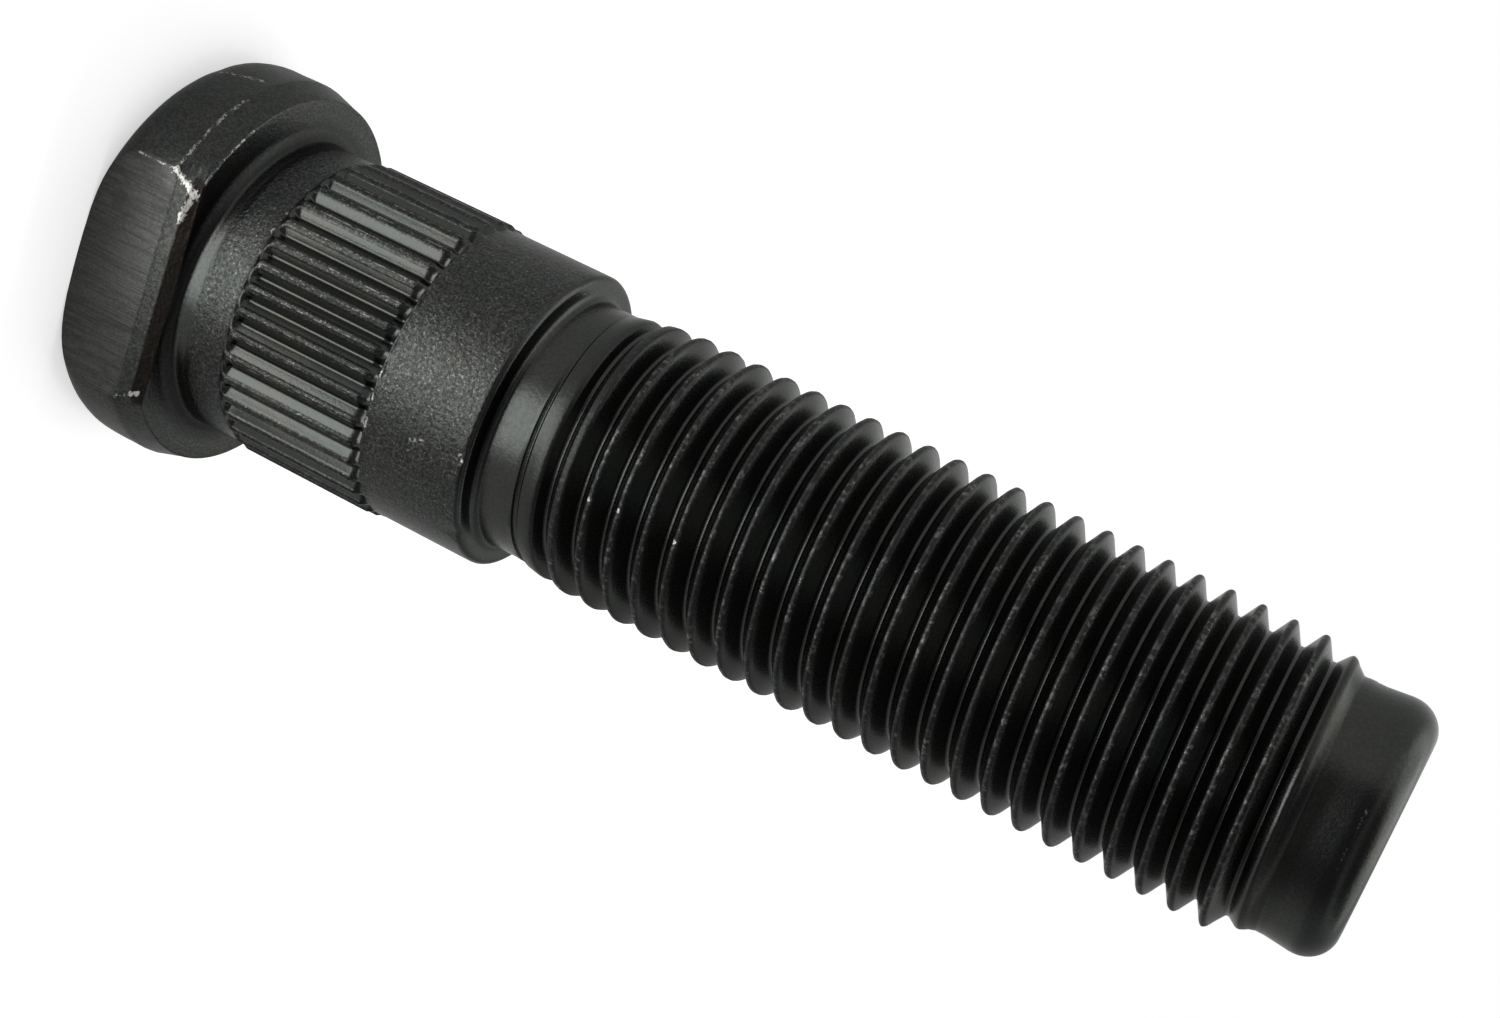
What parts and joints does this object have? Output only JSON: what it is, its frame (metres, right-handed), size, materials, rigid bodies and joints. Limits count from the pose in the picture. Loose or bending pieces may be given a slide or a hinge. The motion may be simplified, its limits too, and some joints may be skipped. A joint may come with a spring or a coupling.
{
  "type": "wheel stud",
  "caption": "Press-in wheel stud: round head with one flat, serrated shank, plain shoulder, long right-hand fine thread and a plain rounded pilot at the tip.",
  "frame": {"origin": "centre of the round head's back face", "axes": "+Z along the stud's axis from the head to the tip; -Y out of the flat on the head's side"},
  "size_m": [0.0203, 0.0185, 0.0653],
  "materials": {
    "dark_steel": "satin black oxide"
  },
  "bodies": {
    "root": {"stud": "dark_steel"}
  },
  "joints": []
}
